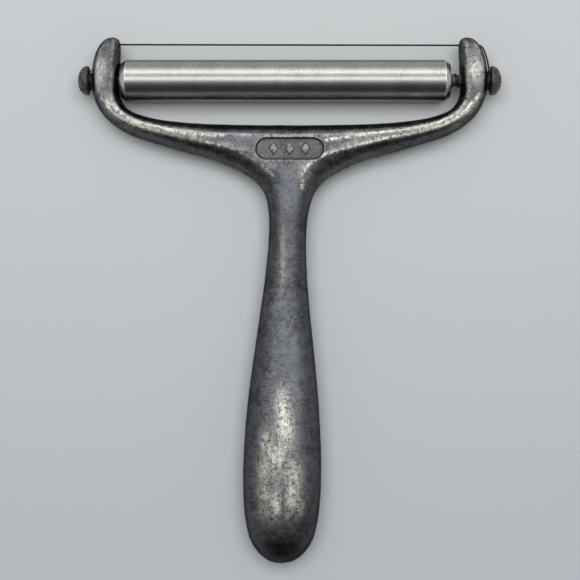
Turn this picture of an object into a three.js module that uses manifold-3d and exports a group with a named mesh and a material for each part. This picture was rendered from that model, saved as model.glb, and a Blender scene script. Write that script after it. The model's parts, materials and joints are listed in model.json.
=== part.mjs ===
// Hand-held wire cheese slicer: a one-piece aluminium casting (handle and yoke), a roller that turns
// on two screws between the yoke's arms, and a cutting wire held under the screws' heads.
//
// Millimetres. The model is drawn with its origin on the roller's axis, midway between the arms:
// X runs along the roller, Y points from the handle to the wire, and Z is the front of the casting.
// Y = 0 is the roller's axis and Z = 0 is the casting's parting plane. At the end the whole slicer is
// lifted and centred, so that it lies on Z = 0 with its box centred on X = 0, Y = 0.

import * as THREE from "three";
import { LoftGeometry } from "three/addons/geometries/LoftGeometry.js";
import { mergeVertices } from "three/addons/utils/BufferGeometryUtils.js";
import Module from "manifold-3d";

const wasm = await Module();
wasm.setup();

// ---- Driving dimensions -------------------------------------------------------------------------

// Casting
const ARM_INNER_X = 51.8; // inner face of an arm, from the middle
const ARM_OUTER_X = 60.2; // outer face of an arm at the roller's axis
const YOKE_HALF_DEPTH = 5; // parting plane to the flat front facet
const FLASH_HALF = 0.6; // half the height of the upright band along the parting line
const HANDLE_SKEW = 3; // the handle leans off the yoke's middle line, up to this far ...
const SKEW_RUN = 60; // ... most of it within this length
const SKEW_START_Y = -33;
const SECTION_STEPS = 4; // loft sections between two outline points

// Recessed panel on the front, with three plain raised lozenges
const PANEL_Y = -21.1;
const PANEL_HALF_LENGTH = 10.3;
const PANEL_RADIUS = 3.3;
const PANEL_RECESS = 0.45;
const LOZENGE_PITCH = 4.8;
const LOZENGE_HALF = { x: 1.3, y: 1.9 };
const LOZENGE_HEIGHT = 0.35;

// Roller
const ROLLER_RADIUS = 6.35;
const ROLLER_LENGTH = 100.2;
const ROLLER_END_GAP = 0.4; // the roller stands against the left arm
const ROLLER_CHAMFER = { along: 1.6, in: 1.15 };
const ROLLER_BORE_RADIUS = 2.75;
const ROLLER_BORE_DEPTH = 13;
const DRILL_POINT = 1.6;

// Pivot screws: 3/4 inch number 10 round heads
const SCREW_RADIUS = 2.3;
const SCREW_LENGTH = 19;
const SCREW_POINT = 3;
const HEAD_RADIUS = 4.45;
const HEAD_HEIGHT = 3.4;
const HEAD_RIM = 0.5;
const SLOT_WIDTH = 1.2;
const SLOT_DEPTH = 1.4;
const HEAD_UNDERSIDE_X = 61.1;
const ARM_BORE_RADIUS = 2.6;
const SLOT_TURN_DEG = { left: 35, right: 15 }; // from the line along Y

// Cutting wire
const WIRE_RADIUS = 0.275;
const WIRE_Y = { left: 11.0, right: 10.8 };
const WIRE_HOLE_RADIUS = 0.65;
const LEFT_HOLE_DROP_DEG = 20.5; // the left hole slants towards the back of the arm
const WIRE_LOOP_RADIUS = 2.95;
const WIRE_LOOP_X = 60.68;
const WIRE_LOOP_DEG = { start: 68, end: 360 };

// ---- Solids -------------------------------------------------------------------------------------

// A closed geometry as a solid that can be joined and cut.
function solid(geometry) {
  const bare = new THREE.BufferGeometry();
  bare.setAttribute("position", geometry.getAttribute("position"));
  bare.setIndex(geometry.getIndex());
  const merged = mergeVertices(bare, 1e-4);
  return new wasm.Manifold(
    new wasm.Mesh({
      numProp: 3,
      vertProperties: merged.attributes.position.array,
      triVerts: new Uint32Array(merged.index.array),
    }),
  );
}

function mesh(name, shape, material) {
  const { vertProperties, triVerts } = shape.getMesh();
  const geometry = new THREE.BufferGeometry();
  geometry.setAttribute("position", new THREE.BufferAttribute(vertProperties, 3));
  geometry.setIndex(new THREE.BufferAttribute(triVerts, 1));
  geometry.computeVertexNormals();
  const made = new THREE.Mesh(geometry, material);
  made.name = name;
  return made;
}

// A plain rod along X, from one x to another.
function rodAlongX(radius, fromX, toX, y = 0, sides = 32) {
  const rod = new THREE.CylinderGeometry(radius, radius, toX - fromX, sides);
  rod.rotateZ(Math.PI / 2);
  rod.translate((fromX + toX) / 2, y, 0);
  return solid(rod);
}

// Points along a smooth line through outline points, SECTION_STEPS to each stretch.
function alongOutline(points) {
  const curve = new THREE.CatmullRomCurve3(points.map((p) => new THREE.Vector3(...p)));
  return curve.getPoints((points.length - 1) * SECTION_STEPS);
}

// ---- The casting --------------------------------------------------------------------------------

// The yoke between its inner and outer edges. Each row is one place along the right half, from the
// arm's tip to the middle of the crossbar: the inner edge's x and y with the width of its sloping
// side, the outer edge's x and y with the width of its sloping side, and the half depth there.
const YOKE = [
  { inner: [53.9, 13.3, 0.1], outer: [53.9, 13.3, 0.1], depth: 0 },
  { inner: [52.2, 12.5, 1.0], outer: [56.4, 12.3, 1.1], depth: 2.9 },
  { inner: [51.6, 10.7, 1.6], outer: [58.5, 9.7, 1.6], depth: 4.1 },
  { inner: [51.7, 5.5, 1.8], outer: [59.95, 5.0, 1.6], depth: 4.9 },
  { inner: [ARM_INNER_X, 0, 1.8], outer: [ARM_OUTER_X, 0, 1.6], depth: YOKE_HALF_DEPTH },
  { inner: [51.75, -4.8, 1.9], outer: [59.3, -5.8, 1.9], depth: YOKE_HALF_DEPTH },
  { inner: [49.6, -8.5, 2.1], outer: [56.3, -11.0, 2.4], depth: YOKE_HALF_DEPTH },
  { inner: [45.0, -10.65, 2.4], outer: [49.6, -16.0, 2.7], depth: YOKE_HALF_DEPTH },
  { inner: [38.0, -12.15, 2.7], outer: [40.0, -19.4, 3.1], depth: YOKE_HALF_DEPTH },
  { inner: [27.4, -13.15, 3.1], outer: [27.4, -23.1, 4.3], depth: YOKE_HALF_DEPTH },
  { inner: [13.5, -13.55, 3.5], outer: [13.5, -26.6, 4.8], depth: YOKE_HALF_DEPTH },
  { inner: [0, -13.65, 3.6], outer: [0, -28, 5.5], depth: YOKE_HALF_DEPTH },
];

// The side of the section from the parting line to the facet, as parts of the side's width and of
// the depth.
const SIDE = [
  { across: 0.2, up: 0.42 },
  { across: 0.55, up: 0.78 },
  { across: 1, up: 1 },
];

// One closed section of the yoke, upright on the line between its two edge points.
function yokeSection(inner, outer, depth) {
  const width = Math.hypot(outer.x - inner.x, outer.y - inner.y);
  const band = FLASH_HALF * Math.min(1, depth / YOKE_HALF_DEPTH);
  const front = [
    [0, band],
    ...SIDE.map((s) => [s.across * inner.z, s.up * depth]),
    ...SIDE.toReversed().map((s) => [width - s.across * outer.z, s.up * depth]),
    [width, band],
  ];
  const back = front.toReversed().map(([across, up]) => [across, -up]);
  return [...front, ...back].map(([across, up]) => {
    const part = width > 0 ? across / width : 0;
    return new THREE.Vector3(
      THREE.MathUtils.lerp(inner.x, outer.x, part),
      THREE.MathUtils.lerp(inner.y, outer.y, part),
      up,
    );
  });
}

function makeYoke() {
  const inner = alongOutline(YOKE.map((row) => row.inner));
  const outer = alongOutline(YOKE.map((row) => row.outer));
  const depth = alongOutline(YOKE.map((row, i) => [i, row.depth, 0])).map((p) => p.y);
  const right = inner.map((p, i) => yokeSection(p, outer[i], depth[i]));
  const left = right.slice(0, -1).map((section) => {
    return section.map((p) => new THREE.Vector3(-p.x, p.y, p.z));
  });
  return solid(new LoftGeometry([...left, ...right.toReversed()]));
}

// The handle, from the flare that runs out into the crossbar to the round butt. Each row is the right
// edge's half width and y, the half width of the flat facet, the half depth, and how far the section
// has turned from the yoke's facets (0) to an oval (1).
const HANDLE = [
  { edge: [34.5, -21.0], facet: 16, depth: YOKE_HALF_DEPTH, oval: 0 },
  { edge: [24.6, -23.9], facet: 9.3, depth: YOKE_HALF_DEPTH, oval: 0 },
  { edge: [16.8, -26.9], facet: 5.2, depth: YOKE_HALF_DEPTH, oval: 0 },
  { edge: [11.0, -30.3], facet: 2.6, depth: YOKE_HALF_DEPTH, oval: 0.3 },
  { edge: [7.6, -34.4], facet: 1, depth: 5.05, oval: 0.8 },
  { edge: [6.1, -39.8], facet: 1, depth: 5.1, oval: 1 },
  { edge: [5.65, -46.5], facet: 1, depth: 5.1, oval: 1 },
  { edge: [6.25, -58.5], facet: 1, depth: 5.5, oval: 1 },
  { edge: [7.65, -71.5], facet: 1, depth: 6.2, oval: 1 },
  { edge: [9.35, -85.2], facet: 1, depth: 7.1, oval: 1 },
  { edge: [10.75, -98], facet: 1, depth: 7.8, oval: 1 },
  { edge: [11.6, -110], facet: 1, depth: 8.2, oval: 1 },
  { edge: [11.85, -120], facet: 1, depth: 8.3, oval: 1 },
  { edge: [11.6, -128.5], facet: 1, depth: 8.1, oval: 1 },
  { edge: [10.85, -134.7], facet: 1, depth: 7.5, oval: 1 },
  { edge: [9.4, -140.1], facet: 1, depth: 6.5, oval: 1 },
  { edge: [6.8, -144], facet: 1, depth: 4.8, oval: 1 },
  { edge: [3.6, -146.3], facet: 1, depth: 2.7, oval: 1 },
  { edge: [0, -147.1], facet: 0, depth: 0, oval: 1 },
];

function skewAt(y) {
  return y < SKEW_START_Y ? -HANDLE_SKEW * (1 - Math.exp((y - SKEW_START_Y) / SKEW_RUN)) : 0;
}

// A quarter of the handle's section, from its edge up to the middle of its front, as [x, z] pairs.
function handleQuarter(halfWidth, facet, depth, oval) {
  const side = halfWidth - facet;
  const facets = [
    [halfWidth, 0],
    [halfWidth, FLASH_HALF],
    ...SIDE.map((s) => [halfWidth - s.across * side, s.up * depth]),
    [facet / 2, depth],
    [0, depth],
  ];
  return facets.map(([x, z], i) => {
    const angle = (i / (facets.length - 1)) * (Math.PI / 2);
    return [
      THREE.MathUtils.lerp(x, halfWidth * Math.cos(angle), oval),
      THREE.MathUtils.lerp(z, depth * Math.sin(angle), oval),
    ];
  });
}

function handleSection(y, quarter) {
  const half = [...quarter, ...quarter.slice(0, -1).toReversed().map(([x, z]) => [-x, z])];
  const ring = [...half, ...half.slice(1, -1).toReversed().map(([x, z]) => [x, -z])];
  return ring.map(([x, z]) => new THREE.Vector3(x + skewAt(y), y, z));
}

function makeHandle() {
  const edge = alongOutline(HANDLE.map((row) => [...row.edge, row.facet]));
  const shape = alongOutline(HANDLE.map((row, i) => [i, row.depth, row.oval]));
  const sections = edge.map((p, i) => {
    const halfWidth = Math.max(p.x, 0);
    const oval = THREE.MathUtils.clamp(shape[i].z, 0, 1);
    return handleSection(p.y, handleQuarter(halfWidth, p.z, Math.max(shape[i].y, 0), oval));
  });
  const root = sections[0].map(() => new THREE.Vector3(0, edge[0].y, 0)); // closes the flare's end
  return solid(new LoftGeometry([root, ...sections]));
}

// The stadium outline of the recessed panel.
function makePanelRecess() {
  const run = PANEL_HALF_LENGTH - PANEL_RADIUS;
  const outline = new THREE.Shape();
  outline.absarc(run, PANEL_Y, PANEL_RADIUS, -Math.PI / 2, Math.PI / 2);
  outline.absarc(-run, PANEL_Y, PANEL_RADIUS, Math.PI / 2, (3 * Math.PI) / 2);
  const cutter = new THREE.ExtrudeGeometry(outline, {
    depth: 2,
    bevelEnabled: false,
    curveSegments: 16,
  });
  cutter.translate(0, 0, YOKE_HALF_DEPTH - PANEL_RECESS);
  return solid(cutter);
}

function makeLozenge(x) {
  const outline = new THREE.Shape();
  outline.moveTo(x + LOZENGE_HALF.x, PANEL_Y);
  outline.lineTo(x, PANEL_Y + LOZENGE_HALF.y);
  outline.lineTo(x - LOZENGE_HALF.x, PANEL_Y);
  outline.lineTo(x, PANEL_Y - LOZENGE_HALF.y);
  const rooted = 0.5; // depth below the panel's floor
  const block = new THREE.ExtrudeGeometry(outline, {
    depth: rooted + LOZENGE_HEIGHT,
    bevelEnabled: false,
  });
  block.translate(0, 0, YOKE_HALF_DEPTH - PANEL_RECESS - rooted);
  return solid(block);
}

function makeCasting() {
  let casting = makeYoke().add(makeHandle()).subtract(makePanelRecess());
  for (const step of [-1, 0, 1]) {
    casting = casting.add(makeLozenge(step * LOZENGE_PITCH));
  }
  const past = 3; // how far a drill runs past the arm's faces
  const from = ARM_INNER_X - past;
  const to = ARM_OUTER_X + past;
  const screwHole = rodAlongX(ARM_BORE_RADIUS, from, to);
  const rightWireHole = rodAlongX(WIRE_HOLE_RADIUS, from, to, WIRE_Y.right, 16);
  const leftWireHole = rodAlongX(WIRE_HOLE_RADIUS, -past, to - ARM_INNER_X, 0, 16)
    .rotate([0, 180 - LEFT_HOLE_DROP_DEG, 0])
    .translate([-ARM_INNER_X, WIRE_Y.left, 0]);
  return casting
    .subtract(screwHole)
    .subtract(screwHole.mirror([1, 0, 0]))
    .subtract(rightWireHole)
    .subtract(leftWireHole);
}

// ---- Roller -------------------------------------------------------------------------------------

// Turned about Y, from the floor of one drilled hole, over the outside, to the floor of the other.
function makeRoller() {
  const end = ROLLER_LENGTH / 2;
  const oneEnd = [
    [0, end - ROLLER_BORE_DEPTH - DRILL_POINT],
    [ROLLER_BORE_RADIUS, end - ROLLER_BORE_DEPTH],
    [ROLLER_BORE_RADIUS, end],
    [ROLLER_RADIUS - ROLLER_CHAMFER.in, end],
    [ROLLER_RADIUS, end - ROLLER_CHAMFER.along],
  ];
  const otherEnd = oneEnd.toReversed().map(([r, y]) => [r, -y]);
  const profile = [...oneEnd, ...otherEnd].map(([r, y]) => new THREE.Vector2(r, y));
  return solid(new THREE.LatheGeometry(profile.toReversed(), 48));
}

// ---- Screws -------------------------------------------------------------------------------------

// Turned about Y with the head's underside at y = 0 and the head's top in +Y.
function makeScrew() {
  const domeSteps = 6;
  const dome = Array.from({ length: domeSteps + 1 }, (_, i) => {
    const angle = (i / domeSteps) * (Math.PI / 2);
    return [HEAD_RADIUS * Math.cos(angle), HEAD_RIM + (HEAD_HEIGHT - HEAD_RIM) * Math.sin(angle)];
  });
  dome[domeSteps][0] = 0;
  const outline = [
    [0, -SCREW_LENGTH],
    [SCREW_RADIUS / 4, -SCREW_LENGTH],
    [SCREW_RADIUS, -SCREW_LENGTH + SCREW_POINT],
    [SCREW_RADIUS, 0],
    [HEAD_RADIUS, 0],
    ...dome,
  ];
  const profile = outline.map(([r, y]) => new THREE.Vector2(r, y));
  const slot = new THREE.BoxGeometry(SLOT_WIDTH, 2 * SLOT_DEPTH, 3 * HEAD_RADIUS);
  slot.translate(0, HEAD_HEIGHT, 0);
  return solid(new THREE.LatheGeometry(profile, 32)).subtract(solid(slot));
}

// ---- Cutting wire -------------------------------------------------------------------------------

// Each end's way from inside the arm's tip, down the arm's outer edge, to the screw's shank. The left
// end is drawn as the right one is, and then turned half round the Y axis: it runs behind the arm.
const WIRE_LEAD = {
  right: [
    [55, WIRE_Y.right, 0],
    [57, WIRE_Y.right, 0],
    [57.9, 10.75, 0.05],
    [58.7, 10.1, 0.4],
    [59.25, 8.8, 0.85],
    [59.8, 7, 1.35],
    [60.2, 5, 1.85],
    [60.5, 3, 2.35],
  ],
  left: [
    [51, WIRE_Y.left, 0],
    [51.7, WIRE_Y.left, 0.02],
    [53.5, WIRE_Y.left, 0.65],
    [55.5, WIRE_Y.left, 1.4],
    [57.2, 10.98, 2.05],
    [57.75, 10.75, 2.25],
    [58.3, 10, 2.42],
    [58.9, 8.6, 2.5],
    [59.58, 6.6, 2.57],
    [60, 4.5, 2.65],
    [60.35, 2.8, 2.7],
  ],
};
const WIRE_SPAN = { from: -51.4, to: 56 };

// A lead, and then the loop round the screw's shank.
function wireEndPath(lead) {
  const { start, end } = WIRE_LOOP_DEG;
  const turns = 14;
  const loop = Array.from({ length: turns + 1 }, (_, i) => {
    const angle = THREE.MathUtils.degToRad(start + ((end - start) * i) / turns);
    return new THREE.Vector3(
      WIRE_LOOP_X,
      WIRE_LOOP_RADIUS * Math.cos(angle),
      WIRE_LOOP_RADIUS * Math.sin(angle),
    );
  });
  return new THREE.CatmullRomCurve3([...lead.map((p) => new THREE.Vector3(...p)), ...loop]);
}

function makeWireEnd(lead) {
  const round = new THREE.Shape();
  round.absarc(0, 0, WIRE_RADIUS, 0, 2 * Math.PI);
  return new THREE.ExtrudeGeometry(round, {
    steps: 64,
    curveSegments: 4,
    extrudePath: wireEndPath(lead),
  });
}

function makeWire() {
  const right = makeWireEnd(WIRE_LEAD.right);
  const left = makeWireEnd(WIRE_LEAD.left);
  left.rotateY(Math.PI);
  const { from, to } = WIRE_SPAN;
  const span = new THREE.CylinderGeometry(WIRE_RADIUS, WIRE_RADIUS, to - from, 8);
  span.rotateZ(Math.PI / 2 - Math.atan2(WIRE_Y.left - WIRE_Y.right, to - from));
  span.translate((from + to) / 2, (WIRE_Y.left + WIRE_Y.right) / 2, 0);
  return solid(span).add(solid(right)).add(solid(left));
}

// ---- Materials and assembly ---------------------------------------------------------------------

const castAluminium = new THREE.MeshStandardMaterial({ color: 0x5c5e60, roughness: 0.5, metalness: 0.9 });
const turnedAluminium = new THREE.MeshStandardMaterial({ color: 0xb9bab6, roughness: 0.35, metalness: 1 });
const rustySteel = new THREE.MeshStandardMaterial({ color: 0x3b302a, roughness: 0.6, metalness: 0.7 });
const wireSteel = new THREE.MeshStandardMaterial({ color: 0x2c2d2f, roughness: 0.4, metalness: 0.9 });

const slicer = new THREE.Group();
slicer.add(mesh("cast_frame", makeCasting(), castAluminium));

const roller = mesh("roller", makeRoller(), turnedAluminium);
roller.rotation.z = -Math.PI / 2;
roller.position.x = -ARM_INNER_X + ROLLER_END_GAP + ROLLER_LENGTH / 2;
slicer.add(roller);

for (const [side, name, turnDeg] of [
  [-1, "left_pivot_screw", SLOT_TURN_DEG.left],
  [1, "right_pivot_screw", SLOT_TURN_DEG.right],
]) {
  const screw = mesh(name, makeScrew(), rustySteel);
  screw.rotation.set(0, THREE.MathUtils.degToRad(90 + turnDeg), 0);
  const holder = new THREE.Group();
  holder.rotation.z = (-side * Math.PI) / 2;
  holder.position.x = side * HEAD_UNDERSIDE_X;
  holder.add(screw);
  slicer.add(holder);
}

slicer.add(mesh("cutting_wire", makeWire(), wireSteel));

// The slicer lies on its back on Z = 0, centred over the origin.
const box = new THREE.Box3().setFromObject(slicer);
const centre = box.getCenter(new THREE.Vector3());
slicer.position.set(-centre.x, -centre.y, -box.min.z);

const part = new THREE.Group();
part.add(slicer);
export default part;
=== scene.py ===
# Hand-held wire cheese slicer: the finished look of the casting, roller, screws and wire around the
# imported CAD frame. Shapes are drawn in millimetres with the origin on the roller's axis, midway
# between the arms (X along the roller, Y from the handle to the wire, Z out of the front), and are
# put into the row frame, in metres, at the end.

import json
import math

import bmesh
import bpy
import numpy as np
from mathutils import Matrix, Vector, noise


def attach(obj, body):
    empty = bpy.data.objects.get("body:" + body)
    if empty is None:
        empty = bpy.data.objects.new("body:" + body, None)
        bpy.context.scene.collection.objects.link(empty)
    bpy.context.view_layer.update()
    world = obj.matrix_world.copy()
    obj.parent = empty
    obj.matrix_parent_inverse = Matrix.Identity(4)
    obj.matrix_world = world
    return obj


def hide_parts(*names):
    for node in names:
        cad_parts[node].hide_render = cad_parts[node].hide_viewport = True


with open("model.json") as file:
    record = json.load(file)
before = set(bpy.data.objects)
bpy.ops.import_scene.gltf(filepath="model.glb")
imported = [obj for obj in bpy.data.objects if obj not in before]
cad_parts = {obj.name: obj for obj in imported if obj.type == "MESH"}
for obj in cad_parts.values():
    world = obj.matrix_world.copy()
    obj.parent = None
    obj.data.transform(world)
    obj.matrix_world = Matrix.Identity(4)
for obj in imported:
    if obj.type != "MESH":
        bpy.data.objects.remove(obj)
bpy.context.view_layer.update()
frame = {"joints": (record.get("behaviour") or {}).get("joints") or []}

MM = 0.001
AXIS = Vector(next(j for j in frame["joints"] if j["name"] == "roller_spin")["pos_m"])


# ---- Mesh tools ----------------------------------------------------------------------------------


def spline(points, steps):
    """Points along a centripetal Catmull-Rom line, with this many steps in each stretch."""
    given = np.asarray(points, float)
    pts = np.vstack([2 * given[0] - given[1], given, 2 * given[-1] - given[-2]])
    t = (np.arange(steps) / steps)[:, None]
    line = []
    for p0, p1, p2, p3 in zip(pts, pts[1:], pts[2:], pts[3:]):
        d0, d1, d2 = (
            max(np.linalg.norm(b - a) ** 0.5, 1e-4) for a, b in ((p0, p1), (p1, p2), (p2, p3))
        )
        m1 = d1 * ((p1 - p0) / d0 - (p2 - p0) / (d0 + d1) + (p2 - p1) / d1)
        m2 = d1 * ((p2 - p1) / d1 - (p3 - p1) / (d1 + d2) + (p3 - p2) / d2)
        line.append(
            p1 * (2 * t**3 - 3 * t**2 + 1)
            + m1 * (t**3 - 2 * t**2 + t)
            + p2 * (3 * t**2 - 2 * t**3)
            + m2 * (t**3 - t**2)
        )
    return np.vstack([*line, given[-1:]])


def loft(bm, rings):
    """Adds a closed skin over rings of points, with a cap on each end."""
    rows = [[bm.verts.new(p) for p in ring] for ring in rings]
    count = len(rows[0])
    for a, b in zip(rows, rows[1:]):
        for j in range(count):
            k = (j + 1) % count
            bm.faces.new((a[j], a[k], b[k], b[j]))
    bm.faces.new(rows[0][::-1])
    bm.faces.new(rows[-1])


def mesh_from(bm, name):
    bmesh.ops.remove_doubles(bm, verts=bm.verts, dist=1e-4)
    bmesh.ops.dissolve_degenerate(bm, edges=bm.edges, dist=1e-5)
    bmesh.ops.recalc_face_normals(bm, faces=bm.faces)
    made = bpy.data.meshes.new(name)
    bm.to_mesh(made)
    bm.free()
    return made


def new_object(name, mesh):
    made = bpy.data.objects.new(name, mesh)
    bpy.context.scene.collection.objects.link(made)
    return made


def applied(obj):
    """The object's mesh with its modifiers applied; the object itself is removed."""
    graph = bpy.context.evaluated_depsgraph_get()
    mesh = bpy.data.meshes.new_from_object(obj.evaluated_get(graph))
    bpy.data.objects.remove(obj)
    return mesh


def cut(mesh, cutter, operation="DIFFERENCE"):
    body = new_object("body", mesh)
    tool = new_object("tool", cutter)
    modifier = body.modifiers.new("cut", "BOOLEAN")
    modifier.operation = operation
    modifier.solver = "MANIFOLD"
    modifier.object = tool
    result = applied(body)
    bpy.data.objects.remove(tool)
    return result


def coordinates(mesh):
    co = np.empty(len(mesh.vertices) * 3)
    mesh.vertices.foreach_get("co", co)
    return co.reshape(-1, 3)


def set_coordinates(mesh, co):
    mesh.vertices.foreach_set("co", co.astype(np.float32).ravel())
    mesh.update()


def neighbour_mean(mesh):
    """A function that gives, for values on the vertices, the mean over each vertex's neighbours."""
    edges = np.empty(len(mesh.edges) * 2, np.int64)
    mesh.edges.foreach_get("vertices", edges)
    a, b = edges.reshape(-1, 2).T
    count = len(mesh.vertices)
    degree = np.maximum(np.bincount(np.r_[a, b], minlength=count), 1)[:, None]

    def mean(values):
        columns = [
            np.bincount(a, column[b], count) + np.bincount(b, column[a], count)
            for column in values.T
        ]
        return np.stack(columns, 1) / degree

    return mean


def smooth(mesh, rounds, shrink=0.5, swell=-0.52):
    """Evens out the mesh without shrinking it."""
    mean = neighbour_mean(mesh)
    co = coordinates(mesh)
    for _ in range(rounds):
        for factor in (shrink, swell):
            co += factor * (mean(co) - co)
    set_coordinates(mesh, co)


def vertex_normals(mesh):
    normals = np.empty(len(mesh.vertices) * 3)
    mesh.vertex_normals.foreach_get("vector", normals)
    return normals.reshape(-1, 3)


def set_attribute(mesh, name, values):
    layer = mesh.attributes.new(name, "FLOAT", "POINT")
    layer.data.foreach_set("value", np.asarray(values, np.float32))


def finish_piece(name, mesh, material, body, replaced, angle=None):
    """Puts a millimetre mesh into the row frame and makes it a piece that rides on a body."""
    set_coordinates(mesh, coordinates(mesh) * MM + np.array(AXIS))
    mesh.materials.clear()
    mesh.materials.append(material)
    mesh.shade_smooth()
    if angle:
        mesh.set_sharp_from_angle(angle=math.radians(angle))
    piece = new_object(name, mesh)
    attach(piece, body)
    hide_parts(replaced)
    return piece


# ---- The casting ---------------------------------------------------------------------------------

# One row for each place along the yoke's right half, from the arm's tip to the crossbar's middle:
# inner edge x, y and side width, outer edge x, y and side width, half depth.
YOKE = [
    (53.9, 13.3, 0.1, 53.9, 13.3, 0.1, 0),
    (52.2, 12.5, 1.0, 56.4, 12.3, 1.1, 2.9),
    (51.6, 10.7, 1.6, 58.5, 9.7, 1.6, 4.1),
    (51.7, 5.5, 1.8, 59.95, 5.0, 1.6, 4.9),
    (51.8, 0, 1.8, 60.2, 0, 1.6, 5),
    (51.75, -4.8, 1.9, 59.3, -5.8, 1.9, 5),
    (49.6, -8.5, 2.1, 56.3, -11.0, 2.4, 5),
    (45.0, -10.65, 2.4, 49.6, -16.0, 2.7, 5),
    (38.0, -12.15, 2.7, 40.0, -19.4, 3.1, 5),
    (27.4, -13.15, 3.1, 27.4, -23.1, 4.3, 5),
    (13.5, -13.55, 3.5, 13.5, -26.6, 4.8, 5),
    (0, -13.65, 3.6, 0, -28, 5.5, 5),
]
# One row for each place down the handle: half width, y, half width of the flat facet, half depth,
# and how far the section has turned from faceted (0) to oval (1).
HANDLE = [
    (34.5, -21.0, 16, 5, 0),
    (24.6, -23.9, 9.3, 5, 0),
    (16.8, -26.9, 5.2, 5, 0),
    (11.0, -30.3, 2.6, 5, 0.3),
    (7.6, -34.4, 1, 5.05, 0.8),
    (6.1, -39.8, 1, 5.1, 1),
    (5.65, -46.5, 1, 5.1, 1),
    (6.25, -58.5, 1, 5.5, 1),
    (7.65, -71.5, 1, 6.2, 1),
    (9.35, -85.2, 1, 7.1, 1),
    (10.75, -98, 1, 7.8, 1),
    (11.6, -110, 1, 8.2, 1),
    (11.85, -120, 1, 8.3, 1),
    (11.6, -128.5, 1, 8.1, 1),
    (10.85, -134.7, 1, 7.5, 1),
    (9.4, -140.1, 1, 6.5, 1),
    (6.8, -144, 1, 4.8, 1),
    (3.6, -146.3, 1, 2.7, 1),
    (0, -147.1, 0, 0, 1),
]
STEPS = 10
SIDE = np.linspace(0, 1, 11)  # from the parting line to the facet
RISE = 0.12 + 0.88 * (0.62 * (1 - (1 - SIDE) ** 3.2) + 0.38 * SIDE)
VOXEL = 0.42

PANEL_Y = -21.1
PANEL_RUN = 7.0
PANEL_RADIUS = 3.3
PANEL_FLOOR = 4.5
PANEL_DEPTH = 0.5
LOZENGES_X = (-4.8, 0, 4.8)
LOZENGE_HALF_WIDTH = 1.45
LOZENGE_HALF_HEIGHT = 2.05

# Radii of the holes through the arms, and where the drills start and stop in x.
ARM_BORE = 2.6
WIRE_HOLE = 0.65
DRILL_SPAN = (48, 64)
WIRE_Y = {-1: 11.0, 1: 10.8}
LEFT_HOLE_DROP_DEG = 20.5
LEFT_HOLE_PIVOT_X = 51.8  # the left wire hole slants about this place on the arm's inner face

WAVE_HEIGHT = 0.06
SEAM_HEIGHT = 0.1


def yoke_rings():
    rows = np.array(YOKE, float)
    inner = spline(rows[:, 0:3], STEPS)
    outer = spline(rows[:, 3:6], STEPS)
    depth = spline(np.c_[np.arange(len(rows)), rows[:, 6], 0 * rows[:, 6]], STEPS)[:, 1]
    rings = []
    for i, o, d in zip(inner, outer, depth):
        width = max(math.hypot(*(o[:2] - i[:2])), 1e-6)
        across = np.r_[SIDE * i[2], width - SIDE[::-1] * o[2]] / width
        up = np.r_[RISE, RISE[::-1]] * d
        across, up = np.r_[across, across[::-1]], np.r_[up, -up[::-1]]
        flat = i[:2] + across[:, None] * (o[:2] - i[:2])
        rings.append(np.c_[flat, up])
    left = [ring * (-1, 1, 1) for ring in rings[:-1]]
    return left + rings[::-1]


def skew(y):
    """The handle leans a little off the yoke's middle line."""
    return -3 * (1 - math.exp((y + 33) / 60)) if y < -33 else 0


def handle_rings():
    rows = np.array(HANDLE, float)
    edge = spline(rows[:, :3], STEPS)
    shape = spline(np.c_[np.arange(len(rows)), rows[:, 3:5]], STEPS)
    rings = []
    for (half, y, facet), (_, depth, oval) in zip(edge, shape):
        half, depth, oval = max(half, 0), max(depth, 0), min(max(oval, 0), 1)
        x = np.r_[half, half - SIDE * (half - facet), facet / 2, 0]
        z = np.r_[0, RISE * depth, depth, depth]
        angle = np.linspace(0, math.pi / 2, len(x))
        x = x + oval * (half * np.cos(angle) - x)
        z = z + oval * (depth * np.sin(angle) - z)
        x, z = np.r_[x, -x[-2::-1]], np.r_[z, z[-2::-1]]
        x, z = np.r_[x, x[-2:0:-1]], np.r_[z, -z[-2:0:-1]]
        rings.append(np.c_[x + skew(y), 0 * x + y, z])
    root = 0 * rings[0] + (0, rings[0][0, 1], 0)
    return [root] + rings


def stadium(run, radius, z, y=PANEL_Y, steps=24):
    turn = np.linspace(-math.pi / 2, math.pi / 2, steps)
    x = np.r_[run + radius * np.cos(turn), -run - radius * np.cos(turn)]
    return np.c_[x, y + np.r_[radius * np.sin(turn), -radius * np.sin(turn)], 0 * x + z]


def tube_rings(radius, x0, x1, y=0.0, sides=48):
    turn = np.arange(sides) / sides * 2 * math.pi
    ring = np.c_[0 * turn, y + radius * np.cos(turn), radius * np.sin(turn)]
    return [ring + (x, 0, 0) for x in (x0, x1)]


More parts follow.
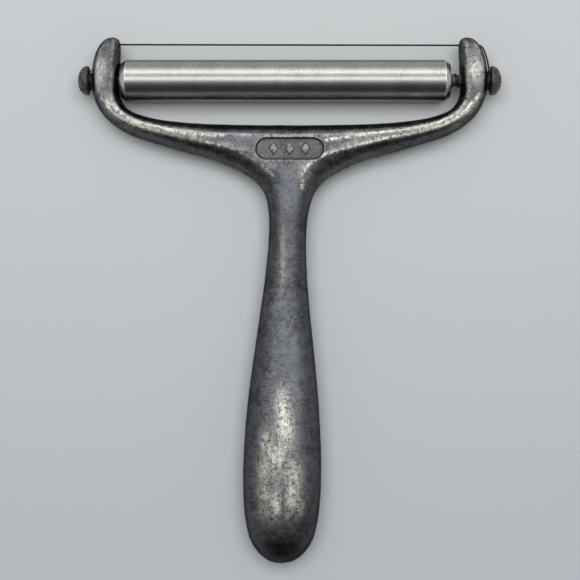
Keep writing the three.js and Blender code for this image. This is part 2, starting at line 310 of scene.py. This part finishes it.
def panel_cutter():
    """The space of the recessed panel, with the three raised lozenges left standing in it."""
    bm = bmesh.new()
    # How far the outline has grown at each height above the floor: a rounded foot, then the rim.
    levels = [(-1.6, 0.0), (-1.1, 0.0), (-0.7, 0.0), (-0.4, 0.0), (-0.15, 0.04), (-0.03, 0.18)]
    levels += [(0.05, 0.4), (0.12, 0.5), (0.2, 0.6), (0.2, 2.0)]
    loft(bm, [stadium(PANEL_RUN, PANEL_RADIUS + grow, PANEL_FLOOR + up) for grow, up in levels])
    cutter = mesh_from(bm, "panel")
    bm = bmesh.new()
    wide, high = LOZENGE_HALF_WIDTH, LOZENGE_HALF_HEIGHT
    corners = np.array([(wide, 0, 0), (0, high, 0), (-wide, 0, 0), (0, -high, 0)])
    for x in LOZENGES_X:
        rings = []
        for size, up in ((1.0, -1.0), (1.0, 0.05), (0.8, 0.3), (0.66, 0.36)):
            rings.append(corners * (size, size, 1) + (x, PANEL_Y, PANEL_FLOOR + up))
        loft(bm, rings)
    return cut(cutter, mesh_from(bm, "lozenges"))


def casting_mesh():
    bm = bmesh.new()
    loft(bm, yoke_rings())
    yoke = mesh_from(bm, "yoke")
    bm = bmesh.new()
    loft(bm, handle_rings())
    handle = mesh_from(bm, "handle")
    raw = new_object("raw", cut(yoke, handle, "UNION"))
    modifier = raw.modifiers.new("even", "REMESH")
    modifier.mode = "VOXEL"
    modifier.voxel_size = VOXEL
    mesh = applied(raw)
    smooth(mesh, 6)
    return mesh


def cast_detail(mesh):
    """Pulls the skin about a little, as sand casting leaves it, and raises the parting line."""
    co, normals = coordinates(mesh), vertex_normals(mesh)
    wave = np.array(
        [noise.noise(Vector(p) * 0.16) + 0.5 * noise.noise(Vector(p) * 0.5) for p in co]
    )
    side = 1 - np.abs(normals[:, 2])
    seam = np.exp(-((co[:, 2] / 0.45) ** 2)) * np.clip(side, 0, 1) ** 4
    lift = WAVE_HEIGHT * wave + SEAM_HEIGHT * seam
    set_coordinates(mesh, co + normals * lift[:, None])


def drilled(mesh):
    """The casting with its screw bores, wire holes and panel cut."""
    bm = bmesh.new()
    for side in (-1, 1):
        ends = sorted(side * x for x in DRILL_SPAN)
        loft(bm, tube_rings(ARM_BORE, *ends))
        hole = np.array(tube_rings(WIRE_HOLE, *ends, y=WIRE_Y[side], sides=24))
        if side < 0:
            slant = math.radians(LEFT_HOLE_DROP_DEG)
            x, z = hole[..., 0] + LEFT_HOLE_PIVOT_X, hole[..., 2].copy()
            hole[..., 0] = x * math.cos(slant) - z * math.sin(slant) - LEFT_HOLE_PIVOT_X
            hole[..., 2] = x * math.sin(slant) + z * math.cos(slant)
        loft(bm, hole)
    mesh = cut(mesh, mesh_from(bm, "drills"))
    return cut(mesh, panel_cutter())


# Where the skin is painted bright, as wear and painted highlight: x, y, reach in x and y, amount.
# The patches go by x and y only, so the back has the same ones.
POLISH_AND_HIGHLIGHT = [
    (-57.0, 3.6, 1.6, 3.2, 0.6),
    (-57.8, -2.0, 1.6, 2.6, 0.3),
    (56.0, 3.0, 2.2, 3.5, 0.8),
    (-54.2, -8.0, 1.5, 2.4, 0.8),
    (-50.6, -11.2, 2.4, 1.2, 0.4),
    (-44.7, -13.8, 4.0, 1.1, 0.4),
    (-36.0, -14.9, 5.5, 1.4, 0.45),
    (-28.5, -17.0, 4.5, 1.6, 0.38),
    (-21.0, -20.2, 3.4, 1.0, 0.35),
    (-16.0, -21.8, 3.0, 1.0, 0.4),
    (-11.5, -23.7, 2.8, 1.1, 0.4),
    (-7.4, -26.6, 2.6, 2.0, 0.4),
    (4.6, -28.0, 1.8, 3.2, 0.4),
    (12.5, -22.2, 2.8, 1.2, 0.4),
    (19.0, -20.0, 4.0, 1.0, 0.4),
    (27.0, -18.1, 5.0, 1.0, 0.4),
    (20.0, -16.4, 5.0, 0.8, 0.35),
    (30.0, -15.3, 6.0, 0.8, 0.4),
    (44.0, -13.6, 7.0, 1.2, 0.38),
    (52.5, -8.5, 2.0, 2.6, 0.3),
    (-2.2, -53.0, 0.7, 12.0, 0.3),
    (-2.0, -99.0, 2.4, 6.0, 0.7),
    (-0.9, -106.0, 2.4, 5.0, 0.7),
    (-7.4, -109.0, 1.8, 3.6, 0.7),
    (-3.9, -114.0, 2.6, 5.0, 0.8),
    (-8.2, -118.0, 2.0, 4.0, 0.7),
    (1.4, -121.0, 2.2, 6.0, 0.95),
    (-7.6, -125.0, 2.2, 3.0, 0.8),
    (-3.9, -128.5, 1.5, 4.6, 1.0),
    (-0.4, -128.0, 1.2, 4.6, 0.9),
    (2.8, -129.6, 1.6, 3.6, 0.8),
    (-7.6, -131.0, 2.4, 2.4, 0.7),
]

# Where the skin is darkened as painted shade and dark reflections, in the same terms.
PAINTED_SHADE_PATCHES = [
    (-1.5, -46.0, 9.0, 14.0, 0.3),
    (-1.9, -126.6, 0.6, 4.0, 0.6),
    (4.8, -134.0, 3.4, 3.0, 0.5),
    (-2.5, -143.5, 14.0, 6.0, 0.65),
    (-5.0, -80.0, 8.0, 10.0, 0.12),
    (-56.6, 9.0, 4.0, 2.8, 0.4),
    (-53.6, 2.0, 1.1, 7.0, 0.3),
]

# Bright lines of wear and painted highlight along the two edges of the yoke's facet, in x and y.
WEAR_AND_HIGHLIGHT_LINES = [
    [
        (-5.2, -29.0), (-7.5, -26.8), (-11.5, -23.9), (-16.5, -21.5), (-24.5, -19.5),
        (-30.1, -18.6), (-34.6, -17.7), (-41.2, -16.1), (-46.8, -14.5), (-50.0, -13.0),
        (-53.3, -10.9), (-55.2, -8.9),
    ],
    [
        (-20.0, -17.2), (-30.1, -16.6), (-34.0, -16.1), (-39.6, -14.5), (-45.2, -13.4),
        (-48.4, -12.2), (-51.3, -10.1), (-53.3, -7.7),
    ],
    [
        (3.8, -32.9), (3.8, -29.0), (5.9, -25.6), (10.5, -22.9), (17.8, -20.9), (24.1, -19.2),
        (30.3, -17.7), (39.3, -16.5), (44.5, -14.9), (49.4, -12.6), (53.1, -9.7), (54.6, -7.7),
        (57.4, -4.9),
    ],
    [
        (11.1, -18.5), (17.8, -17.5), (24.1, -16.6), (30.3, -15.8), (39.3, -14.2),
        (45.3, -13.0), (49.8, -10.1), (52.7, -7.3),
    ],
]
STREAK_WIDTH = 0.5

# Bend of the skin, in mm from each vertex to the mean of its neighbours, at which the bright edges
# of wear and painted highlight start, over which they grow, and at which a hollow is full of dirt
# and painted shade.
EDGE_BEND = 0.009
EDGE_RANGE = 0.012
HOLLOW_BEND = 0.01
# How bright the wear and painted highlight are on convex edges and how much less on the arms;
# the painted highlight on the parting line and on the panel's rim; the wear and painted highlight
# on the lozenges.
EDGE_WEAR_AND_HIGHLIGHT = 0.8
ARM_SPARED = 0.6
SEAM_HIGHLIGHT = 0.38
PANEL_RIM_HIGHLIGHT = 0.7
LOZENGE_WEAR_AND_HIGHLIGHT = 0.5


def patches(table, co):
    """Soft round patches, added up."""
    total = np.zeros(len(co))
    for x, y, rx, ry, amount in table:
        total += amount * np.exp(-(((co[:, 0] - x) / rx) ** 2) - ((co[:, 1] - y) / ry) ** 2)
    return np.clip(total, 0, 1)


def cast_wear(mesh):
    """Stores on each vertex what the casting's material reads: how bright and how hollow it is.

    Convex places are painted bright, as wear and painted highlight, the arms less so, and the
    parting line shows as a pale line of painted highlight. Sideways slopes are marked for painted
    shade. Hollows are darkened with dirt and painted shade, and PAINTED_SHADE_PATCHES with painted
    shade and dark reflections. POLISH_AND_HIGHLIGHT and WEAR_AND_HIGHLIGHT_LINES give the bright
    patches and lines, of wear and painted highlight.
    """
    mean, normals, co = neighbour_mean(mesh), vertex_normals(mesh), coordinates(mesh)
    bend = (normals * (co - mean(co))).sum(1)[:, None]
    for _ in range(3):
        bend = mean(bend)
    bend = bend[:, 0]
    arms = np.clip((co[:, 1] + 12) / 8, 0, 1)  # from the crossbar (0) to the arms (1)
    # Bright convex edges: wear and painted highlight. Pale parting line: painted highlight.
    edge = np.clip((bend - EDGE_BEND) / EDGE_RANGE, 0, 1) * (EDGE_WEAR_AND_HIGHLIGHT - ARM_SPARED * arms)
    seam = np.exp(-((co[:, 2] / 0.4) ** 2)) * (np.abs(normals[:, 2]) < 0.5)
    set_attribute(mesh, "edge", np.maximum(edge, SEAM_HIGHLIGHT * seam))
    # Sideways slopes, which the material darkens as painted shade.
    set_attribute(mesh, "side", np.clip((0.93 - np.abs(normals[:, 2])) / 0.4, 0, 1))
    # Dark hollows: dirt and painted shade. Dark patches: painted shade and dark reflections.
    hollow = np.clip(-bend / HOLLOW_BEND, 0, 1)
    set_attribute(mesh, "hollow", np.maximum(hollow, patches(PAINTED_SHADE_PATCHES, co)))
    # Bright patches and lines: wear and painted highlight.
    polish_and_highlight = patches(POLISH_AND_HIGHLIGHT, co)
    for a, b in (pair for line in WEAR_AND_HIGHLIGHT_LINES for pair in zip(line, line[1:])):
        a, run = np.array(a), np.array(b) - a
        along = np.clip(((co[:, :2] - a) @ run) / (run @ run), 0, 1)
        off = np.linalg.norm(co[:, :2] - a - along[:, None] * run, axis=1)
        polish_and_highlight = np.maximum(polish_and_highlight, np.exp(-((off / STREAK_WIDTH) ** 2)))
    set_attribute(mesh, "polish_and_highlight", np.clip(polish_and_highlight, 0, 1))


def panel_wear(mesh):
    """In and round the panel: painted shade at the foot of its wall, a painted highlight on the
    rim, lozenges bright with wear and painted highlight, a grainy floor.
    """
    co = coordinates(mesh)
    x = np.maximum(np.abs(co[:, 0]) - PANEL_RUN, 0)
    inside = PANEL_RADIUS - np.hypot(x, co[:, 1] - PANEL_Y)
    up = co[:, 2] - PANEL_FLOOR
    near = (inside > -0.3) & (up > -0.2)
    low = near & (inside > -0.05) & (up < 0.45)
    # Painted shade at the foot of the panel's wall.
    wall = np.exp(-((np.clip(inside - 0.15, 0, 9) / 0.36) ** 2)) * low
    top = np.clip(1 - np.abs(up - PANEL_DEPTH) / 0.12, 0, 1)
    # Painted highlight round the panel's rim.
    rim = near * top * np.clip(1 - np.abs(inside) / 0.25, 0, 1)
    # Lozenges painted bright as wear and painted highlight.
    raised = low * (inside > 0.8) * np.clip(up / 0.3, 0, 1)
    edge = np.maximum(PANEL_RIM_HIGHLIGHT * rim, LOZENGE_WEAR_AND_HIGHLIGHT * raised)
    for name, value in (("edge", edge), ("hollow", wall)):
        layer = mesh.attributes[name]
        old = np.empty(len(co), np.float32)
        layer.data.foreach_get("value", old)
        layer.data.foreach_set("value", np.where(near, value, old).astype(np.float32))
    set_attribute(mesh, "floor", low.astype(float))


# ---- Roller, screws and wire ---------------------------------------------------------------------

ROLLER_RADIUS = 6.35
ROLLER_ENDS = (-51.4, 48.8)
ROLLER_BORE = 2.75
HEAD_UNDERSIDE = 61.1
HEAD_RADIUS = 4.45
HEAD_HEIGHT = 3.4
SCREW_LENGTH = 19.0
PITCH = 1.95
SLOT_WIDTH = 1.2
SLOT_DEPTH = 1.4
SLOT_TURN_DEG = {"left": 35, "right": 15}

WIRE_RADIUS = 0.275
WIRE_LOOP_RADIUS = 2.95
WIRE_LOOP_X = 60.68


def lathe_rings(profile, sides):
    """Rings about the X axis; each row of the profile is x and radius."""
    turn = np.arange(sides) / sides * 2 * math.pi
    return [np.c_[0 * turn + x, r * np.cos(turn), r * np.sin(turn)] for x, r in profile]


def roller_mesh():
    left, right = ROLLER_ENDS
    # From the bottom of a drilling out to its mouth, over the chamfer and on to the cylinder.
    end = [
        (14.6, 0.02),
        (13.0, ROLLER_BORE),
        (0.35, ROLLER_BORE),
        (0.05, ROLLER_BORE + 0.25),
        (0.0, ROLLER_BORE + 0.4),
        (0.0, 5.05),
        (0.04, 5.16),
        (0.12, 5.26),
        (1.42, 6.2),
        (1.55, 6.29),
        (1.75, 6.34),
        (2.0, ROLLER_RADIUS),
    ]
    middle = [(x, ROLLER_RADIUS) for x in np.linspace(left + 4, right - 4, 24)]
    profile = [(left + x, r) for x, r in end] + middle + [(right - x, r) for x, r in end[::-1]]
    bm = bmesh.new()
    loft(bm, lathe_rings(profile, 128))
    return mesh_from(bm, "roller")


def screw_mesh(turn_deg):
    """Along X, with the head's underside at x = 0 and the head in +X."""
    sides = 64
    turn = np.arange(sides) / sides * 2 * math.pi
    rings = []
    steps = 300
    for i in range(steps + 1):
        x = -SCREW_LENGTH + (SCREW_LENGTH - 0.05) * i / steps
        taper = min(1, (x + SCREW_LENGTH) / 3.2)
        phase = (x / PITCH - turn / (2 * math.pi)) % 1.0
        crest = np.clip(1 - np.abs(phase - 0.5) / 0.27, 0, 1)
        root = 1.7 * taper**0.8 + 0.05
        fade = min(1, taper * 1.6) * min(1, max(0, (-x - 0.9) / 0.8))
        shank = 0.55 * min(1, max(0, (x + 1.4) / 0.6))
        radius = root + shank + 0.62 * fade * crest
        rings.append(np.c_[0 * turn + x, radius * np.cos(turn), radius * np.sin(turn)])
    head = [(0.0, 2.3), (0.0, 3.9), (0.06, 4.2), (0.2, 4.4), (0.45, HEAD_RADIUS), (0.8, 4.42)]
    dome = np.linspace(math.radians(4), math.pi / 2, 18)
    head += [(0.62 + 2.78 * math.sin(a), 0.02 + 4.4 * math.cos(a)) for a in dome]
    bm = bmesh.new()
    loft(bm, rings + lathe_rings(head, sides))
    mesh = mesh_from(bm, "screw")
    bm = bmesh.new()
    half, floor = SLOT_WIDTH / 2, HEAD_HEIGHT - SLOT_DEPTH
    corners = np.array([(floor, -half), (6, -half), (6, half), (floor, half)])
    loft(bm, [np.c_[corners[:, 0], 0 * corners[:, 0] + y, corners[:, 1]] for y in (-6, 6)])
    mesh = cut(mesh, mesh_from(bm, "slot"))
    angle = math.radians(turn_deg)
    co = coordinates(mesh)
    y = co[:, 1] * math.cos(angle) - co[:, 2] * math.sin(angle)
    z = co[:, 1] * math.sin(angle) + co[:, 2] * math.cos(angle)
    set_coordinates(mesh, np.c_[co[:, 0], y, z])
    return mesh


# Each end's way from inside the arm's tip, down the arm's outer edge, to the screw's shank. The
# left end is listed as the right one is, then turned half round Y: it runs behind the arm.
WIRE_LEAD = {
    1: [
        (55, 10.8, 0),
        (57, 10.8, 0),
        (57.9, 10.75, 0.05),
        (58.7, 10.1, 0.4),
        (59.25, 8.8, 0.85),
        (59.8, 7, 1.35),
        (60.2, 5, 1.85),
        (60.5, 3, 2.35),
    ],
    -1: [
        (51, 11, 0),
        (51.7, 11, 0.02),
        (53.5, 11, 0.65),
        (55.5, 11, 1.4),
        (57.2, 10.98, 2.05),
        (57.75, 10.75, 2.25),
        (58.3, 10, 2.42),
        (58.9, 8.6, 2.5),
        (59.58, 6.6, 2.57),
        (60, 4.5, 2.65),
        (60.35, 2.8, 2.7),
    ],
}


def wire_route(side):
    """One end's way, from inside the arm to the end of its loop under the screw's head."""
    loop = [
        (WIRE_LOOP_X, WIRE_LOOP_RADIUS * math.cos(a), WIRE_LOOP_RADIUS * math.sin(a))
        for a in np.radians(np.linspace(68, 360, 15))
    ]
    return np.array(WIRE_LEAD[side] + loop) * (side, 1, side)


def wire_mesh():
    sides = 12
    right, left = wire_route(1), wire_route(-1)
    span = np.linspace(left[0], right[0], 9)[1:-1]
    line = spline(np.vstack([left[::-1], span, right]), 6)
    tangent = np.gradient(line, axis=0)
    tangent /= np.linalg.norm(tangent, axis=1)[:, None]
    side = np.array((0.0, 0.0, 1.0))
    turn = np.arange(sides) / sides * 2 * math.pi
    rings = []
    for p, t in zip(line, tangent):
        side = side - t * side.dot(t)
        side /= np.linalg.norm(side)
        other = np.cross(t, side)
        rings.append(
            p + WIRE_RADIUS * (np.cos(turn)[:, None] * side + np.sin(turn)[:, None] * other)
        )
    bm = bmesh.new()
    loft(bm, rings)
    return mesh_from(bm, "wire")


# ---- Materials -----------------------------------------------------------------------------------


class Nodes:
    """Short ways to add and join shader nodes in one material."""

    def __init__(self, name):
        self.material = bpy.data.materials.new(name)
        self.material.use_nodes = True
        self.tree = self.material.node_tree
        self.shader = self.tree.nodes["Principled BSDF"]
        self.place = self.add("ShaderNodeTexCoord").outputs["Object"]

    def add(self, kind, **settings):
        node = self.tree.nodes.new(kind)
        for key, value in settings.items():
            setattr(node, key, value)
        return node

    def join(self, value, socket):
        if isinstance(value, bpy.types.NodeSocket):
            self.tree.links.new(value, socket)
        else:
            socket.default_value = value

    def noise(self, size_mm, detail=3.0, rough=0.55, stretch=(1, 1, 1), warp=0.0):
        """Noise whose blotches are about this many millimetres across."""
        mapped = self.add("ShaderNodeMapping")
        self.join(self.place, mapped.inputs["Vector"])
        mapped.inputs["Scale"].default_value = [s / (size_mm * MM) for s in stretch]
        made = self.add("ShaderNodeTexNoise")
        self.join(mapped.outputs["Vector"], made.inputs["Vector"])
        made.inputs["Scale"].default_value = 1.0
        made.inputs["Detail"].default_value = detail
        made.inputs["Roughness"].default_value = rough
        made.inputs["Distortion"].default_value = warp
        return made.outputs["Fac"]

    def ramp(self, value, low, high, to_low=0.0, to_high=1.0):
        """A soft step from to_low to to_high, as the value goes from low to high."""
        made = self.add("ShaderNodeMapRange", interpolation_type="SMOOTHSTEP")
        self.join(value, made.inputs["Value"])
        limits = {"From Min": low, "From Max": high, "To Min": to_low, "To Max": to_high}
        for key, limit in limits.items():
            made.inputs[key].default_value = limit
        return made.outputs["Result"]

    def math(self, operation, a, b=0.0, clamp=False):
        made = self.add("ShaderNodeMath", operation=operation, use_clamp=clamp)
        self.join(a, made.inputs[0])
        self.join(b, made.inputs[1])
        return made.outputs["Value"]

    def mix(self, factor, a, b):
        made = self.add("ShaderNodeMix", data_type="RGBA")
        self.join(factor, made.inputs["Factor"])
        for value, socket in ((a, made.inputs[6]), (b, made.inputs[7])):
            self.join((*value, 1) if isinstance(value, tuple) else value, socket)
        return made.outputs[2]

    def attribute(self, name):
        return self.add("ShaderNodeAttribute", attribute_name=name).outputs["Fac"]

    def bump(self, height, distance_mm, strength=1.0, below=None):
        made = self.add("ShaderNodeBump")
        self.join(height, made.inputs["Height"])
        made.inputs["Distance"].default_value = distance_mm * MM
        made.inputs["Strength"].default_value = strength
        if below is not None:
            self.join(below, made.inputs["Normal"])
        return made.outputs["Normal"]

    def finish(self, colour, roughness, normal, metallic):
        self.join(colour, self.shader.inputs["Base Color"])
        self.join(roughness, self.shader.inputs["Roughness"])
        self.join(normal, self.shader.inputs["Normal"])
        self.join(metallic, self.shader.inputs["Metallic"])
        return self.material


def cast_material():
    """Grey cast skin, bright with wear and painted highlight, with painted shade on its sideways
    slopes, dark with dirt and painted shade in the hollows, and dark in the pits.
    """
    n = Nodes("cast_aluminium")
    cloud = n.noise(9, 3, 0.55)
    mottle = n.noise(2.4, 5, 0.65)
    grain = n.noise(0.42, 3, 0.7)
    pepper = n.noise(0.6, 5, 0.85)
    blend = n.math("ADD", n.math("MULTIPLY", cloud, 0.25), n.math("MULTIPLY", mottle, 0.35))
    blend = n.math("ADD", blend, n.math("MULTIPLY", pepper, 0.4))
    colour = n.mix(n.ramp(blend, 0.4, 0.6), (0.058, 0.061, 0.068), (0.182, 0.189, 0.203))
    # Painted shade on the sideways slopes.
    side = n.math("MULTIPLY", n.attribute("side"), 0.5)
    colour = n.mix(side, colour, (0.075, 0.077, 0.08))
    # Bright patches and lines of wear and painted highlight.
    polish_and_highlight = n.attribute("polish_and_highlight")
    flakes = n.ramp(n.noise(1.3, 5, 0.8), 0.4, 0.58)
    lines = n.ramp(n.noise(0.6, 3, 0.6, stretch=(1, 0.12, 1)), 0.54, 0.64)
    wear_and_highlight = n.math("MULTIPLY", polish_and_highlight, n.math("MAXIMUM", flakes, lines))
    # Bright edges, parting line, rim and lozenges: wear and painted highlight.
    edge = n.math("MULTIPLY", n.attribute("edge"), n.ramp(n.noise(1.2, 3, 0.6), 0.3, 0.6))
    bright = n.math("MAXIMUM", wear_and_highlight, edge)
    colour = n.mix(bright, colour, (0.76, 0.71, 0.61))
    floor = n.attribute("floor")
    colour = n.mix(n.math("MULTIPLY", floor, 0.4), colour, (0.12, 0.117, 0.105))
    glint = n.math("MULTIPLY", n.ramp(grain, 0.58, 0.7), n.math("ADD", polish_and_highlight, 0.3))
    colour = n.mix(glint, colour, (0.75, 0.74, 0.7))
    pits = n.ramp(pepper, 0.33, 0.42, 1.0, 0.0)
    # Dirt and painted shade in hollows, painted shade in the dark patches, and the pits.
    grime_and_painted_shade = n.math("MAXIMUM", n.attribute("hollow"), n.math("MULTIPLY", pits, 0.5))
    colour = n.mix(grime_and_painted_shade, colour, (0.035, 0.035, 0.037))
    smoother = n.math("MULTIPLY", bright, 0.05)
    rough = n.math("SUBTRACT", n.ramp(mottle, 0.3, 0.7, 0.24, 0.34), smoother)
    depth = n.math("ADD", grain, n.math("MULTIPLY", floor, grain))
    normal = n.bump(depth, 0.065, 1.0, below=n.bump(mottle, 0.1, 0.5))
    n.shader.inputs["Specular Tint"].default_value = (0.35, 0.35, 0.36, 1)
    return n.finish(colour, rough, normal, 1.0)


def roller_material():
    """Dull turned bar, with brighter chamfers at its ends."""
    n = Nodes("turned_aluminium")
    soft = n.noise(5, 3, 0.5, stretch=(1, 0.6, 0.6))
    grain = n.noise(0.34, 3, 0.7, stretch=(0.8, 1, 1))
    colour = n.mix(n.ramp(soft, 0.3, 0.7), (0.36, 0.358, 0.338), (0.42, 0.418, 0.393))
    colour = n.mix(n.ramp(grain, 0.45, 0.65), colour, (0.52, 0.515, 0.48))
    colour = n.mix(n.ramp(n.noise(0.7, 4, 0.7), 0.6, 0.72), colour, (0.25, 0.25, 0.25))
    along = n.add("ShaderNodeSeparateXYZ")
    n.join(n.place, along.inputs[0])
    middle, half = sum(ROLLER_ENDS) / 2, (ROLLER_ENDS[1] - ROLLER_ENDS[0]) / 2
    reach = n.math("ABSOLUTE", n.math("SUBTRACT", along.outputs["X"], middle * MM))
    chamfer = n.ramp(reach, (half - 1.95) * MM, (half - 1.6) * MM)
    colour = n.mix(chamfer, colour, (0.8, 0.795, 0.76))
    rough = n.ramp(soft, 0.3, 0.7, 0.15, 0.2)
    normal = n.bump(grain, 0.035, 0.6)
    n.shader.inputs["Specular Tint"].default_value = (0.5, 0.5, 0.5, 1)
    return n.finish(colour, rough, normal, 1.0)


def screw_material():
    n = Nodes("rusty_steel")
    rust = n.ramp(n.noise(1.1, 5, 0.75), 0.42, 0.58)
    colour = n.mix(rust, (0.13, 0.127, 0.12), (0.05, 0.036, 0.027))
    colour = n.mix(n.ramp(n.noise(0.4, 3, 0.7), 0.58, 0.66), colour, (0.24, 0.22, 0.19))
    rough = n.ramp(rust, 0, 1, 0.34, 0.7)
    normal = n.bump(n.noise(0.35, 4, 0.7), 0.1, 0.8)
    return n.finish(colour, rough, normal, n.ramp(rust, 0, 1, 0.95, 0.35))


def wire_material():
    n = Nodes("wire_steel")
    streak = n.noise(0.8, 3, 0.6, stretch=(0.2, 1, 1))
    colour = n.mix(n.ramp(streak, 0.3, 0.7), (0.015, 0.015, 0.016), (0.05, 0.05, 0.053))
    rough = n.ramp(streak, 0.3, 0.7, 0.3, 0.45)
    return n.finish(colour, rough, n.bump(streak, 0.01, 0.5), 0.9)


def paper_material():
    """Pale paper, darker towards the handle's end as painted shade, with faint clouds."""
    n = Nodes("paper")
    along = n.add("ShaderNodeSeparateXYZ")
    n.join(n.place, along.inputs[0])
    # Painted shade: the paper is darker towards the handle's end.
    colour = n.mix(
        n.ramp(along.outputs["Y"], -0.1, 0.1), (0.605, 0.633, 0.652), (0.715, 0.737, 0.75)
    )
    cloud = n.ramp(n.noise(60, 3, 0.5), 0.3, 0.7, 0.0, 0.06)
    colour = n.mix(cloud, colour, (0.6, 0.62, 0.63))
    normal = n.bump(n.noise(0.8, 3, 0.6), 0.03, 0.3)
    return n.finish(colour, 0.75, normal, 0.0)


# ---- Pieces --------------------------------------------------------------------------------------

casting = casting_mesh()
cast_detail(casting)
cast_wear(casting)
casting = drilled(casting)
panel_wear(casting)
finish_piece("casting", casting, cast_material(), "frame", "cast_frame", 50)

finish_piece(
    "roller_bar", roller_mesh(), roller_material(), "roller", "roller", 30
)

steel = screw_material()
for side, name in ((-1, "left"), (1, "right")):
    mesh = screw_mesh(SLOT_TURN_DEG[name])
    co = coordinates(mesh) + (HEAD_UNDERSIDE, 0, 0)
    set_coordinates(mesh, co * (side, side, 1))
    finish_piece(
        name + "_screw", mesh, steel, name + "_screw", name + "_pivot_screw", 40
    )

finish_piece("wire", wire_mesh(), wire_material(), "frame", "cutting_wire")

# ---- Floor, lights and camera --------------------------------------------------------------------

FLOOR_REACH = 3.0  # metres from the middle to each edge

floor_mesh = bpy.data.meshes.new("floor")
corners = [(x * FLOOR_REACH, y * FLOOR_REACH, 0) for x, y in ((-1, -1), (1, -1), (1, 1), (-1, 1))]
floor_mesh.from_pydata(corners, [], [(0, 1, 2, 3)])
floor_mesh.materials.append(paper_material())
new_object("floor", floor_mesh)

# The room that reflections see: degrees from straight up towards +Y, then brightness. One bright
# band is overhead and one is beyond the wire, fitted to the bands on the roller. It is dimmer
# between them and dark on the handle's side. All other light comes from the even AMBIENT.
ROOM = [
    (-180, 0.3),
    (-90, 0.5),
    (-80, 0.22),
    (-70, 0.08),
    (-62, 0.06),
    (-48, 0.06),
    (-37, 0.09),
    (-26, 0.17),
    (-17, 0.34),
    (-10, 0.7),
    (-5, 1.2),
    (1, 2.0),
    (5, 2.35),
    (10, 1.85),
    (16, 1.0),
    (24, 0.85),
    (31, 1.3),
    (37, 2.35),
    (43, 2.35),
    (52, 1.65),
    (62, 1.0),
    (70, 0.72),
    (80, 0.58),
    (96, 0.55),
    (180, 0.3),
]
SIDE_WALLS = 0.42  # what reflections see towards -X and +X
AMBIENT = 0.25

world = bpy.data.worlds.new("room")
bpy.context.scene.world = world
world.use_nodes = True
world.cycles.sampling_method = "NONE"


def room_light(tree):
    """Reflections see the bands of ROOM and its side walls; all other light is one even AMBIENT."""
    background = tree.nodes["Background"]

    def node(kind, *values, **settings):
        made = tree.nodes.new(kind)
        for key, value in settings.items():
            setattr(made, key, value)
        for value, socket in zip(values, made.inputs):
            if isinstance(value, bpy.types.NodeSocket):
                tree.links.new(value, socket)
            elif value is not None:
                socket.default_value = value
        return made

    way = node("ShaderNodeSeparateXYZ", node("ShaderNodeTexCoord").outputs["Generated"])
    lean = node("ShaderNodeMath", way.outputs["Y"], way.outputs["Z"], operation="ARCTAN2")
    place = node("ShaderNodeMapRange", lean.outputs[0], -math.pi, math.pi, 0.0, 1.0).outputs[0]
    bands = node("ShaderNodeValToRGB", place)
    stops = bands.color_ramp.elements
    while len(stops) < len(ROOM):
        stops.new(0.5)
    peak = max(v for _, v in ROOM)
    for stop, (degrees, value) in zip(stops, ROOM):
        stop.position = (degrees + 180) / 360
        stop.color = (value / peak, value / peak, value / peak, 1)
    banded = node("ShaderNodeMath", bands.outputs["Color"], peak, operation="MULTIPLY").outputs[0]
    aside = node("ShaderNodeMath", way.outputs["X"], operation="ABSOLUTE").outputs[0]
    wall = node("ShaderNodeMapRange", aside, 0.4, 1.0, 0.0, 1.0, interpolation_type="SMOOTHSTEP")
    room = node("ShaderNodeMix", wall.outputs[0], None, banded, SIDE_WALLS).outputs[0]
    mirrored = node("ShaderNodeLightPath").outputs["Is Glossy Ray"]
    strength = node("ShaderNodeMix", mirrored, None, AMBIENT, room).outputs[0]
    tree.links.new(strength, background.inputs["Strength"])
    background.inputs["Color"].default_value = (0.97, 0.99, 1.0, 1)


room_light(world.node_tree)


def area_light(name, place, aim, size, watts):
    data = bpy.data.lights.new(name, "AREA")
    data.shape = "RECTANGLE"
    data.size, data.size_y = size
    data.energy = watts
    light = bpy.data.objects.new(name, data)
    bpy.context.scene.collection.objects.link(light)
    light.location = place
    light.rotation_euler = (Vector(aim) - Vector(place)).to_track_quat("-Z", "Y").to_euler()
    return light


# The softbox lights the floor and shades the object; ROOM already stands for it in reflections.
softbox = area_light("softbox", (0, 0.2, 0.9), (0, 0, 0), (0.8, 0.5), 5.6)
softbox.visible_glossy = False

# The camera looks straight down, as in the photograph.
CAMERA_X_Y = (0.0001, 0.0031)
CAMERA_HEIGHT = 0.45  # metres above the parting line
LENS_MM = 91.6

camera_data = bpy.data.cameras.new("camera")
camera_data.lens = LENS_MM
camera_data.sensor_width = 36
camera = bpy.data.objects.new("camera", camera_data)
camera.location = (*CAMERA_X_Y, AXIS.z + CAMERA_HEIGHT)
bpy.context.scene.collection.objects.link(camera)
bpy.context.scene.camera = camera
bpy.context.scene.view_settings.view_transform = "Standard"
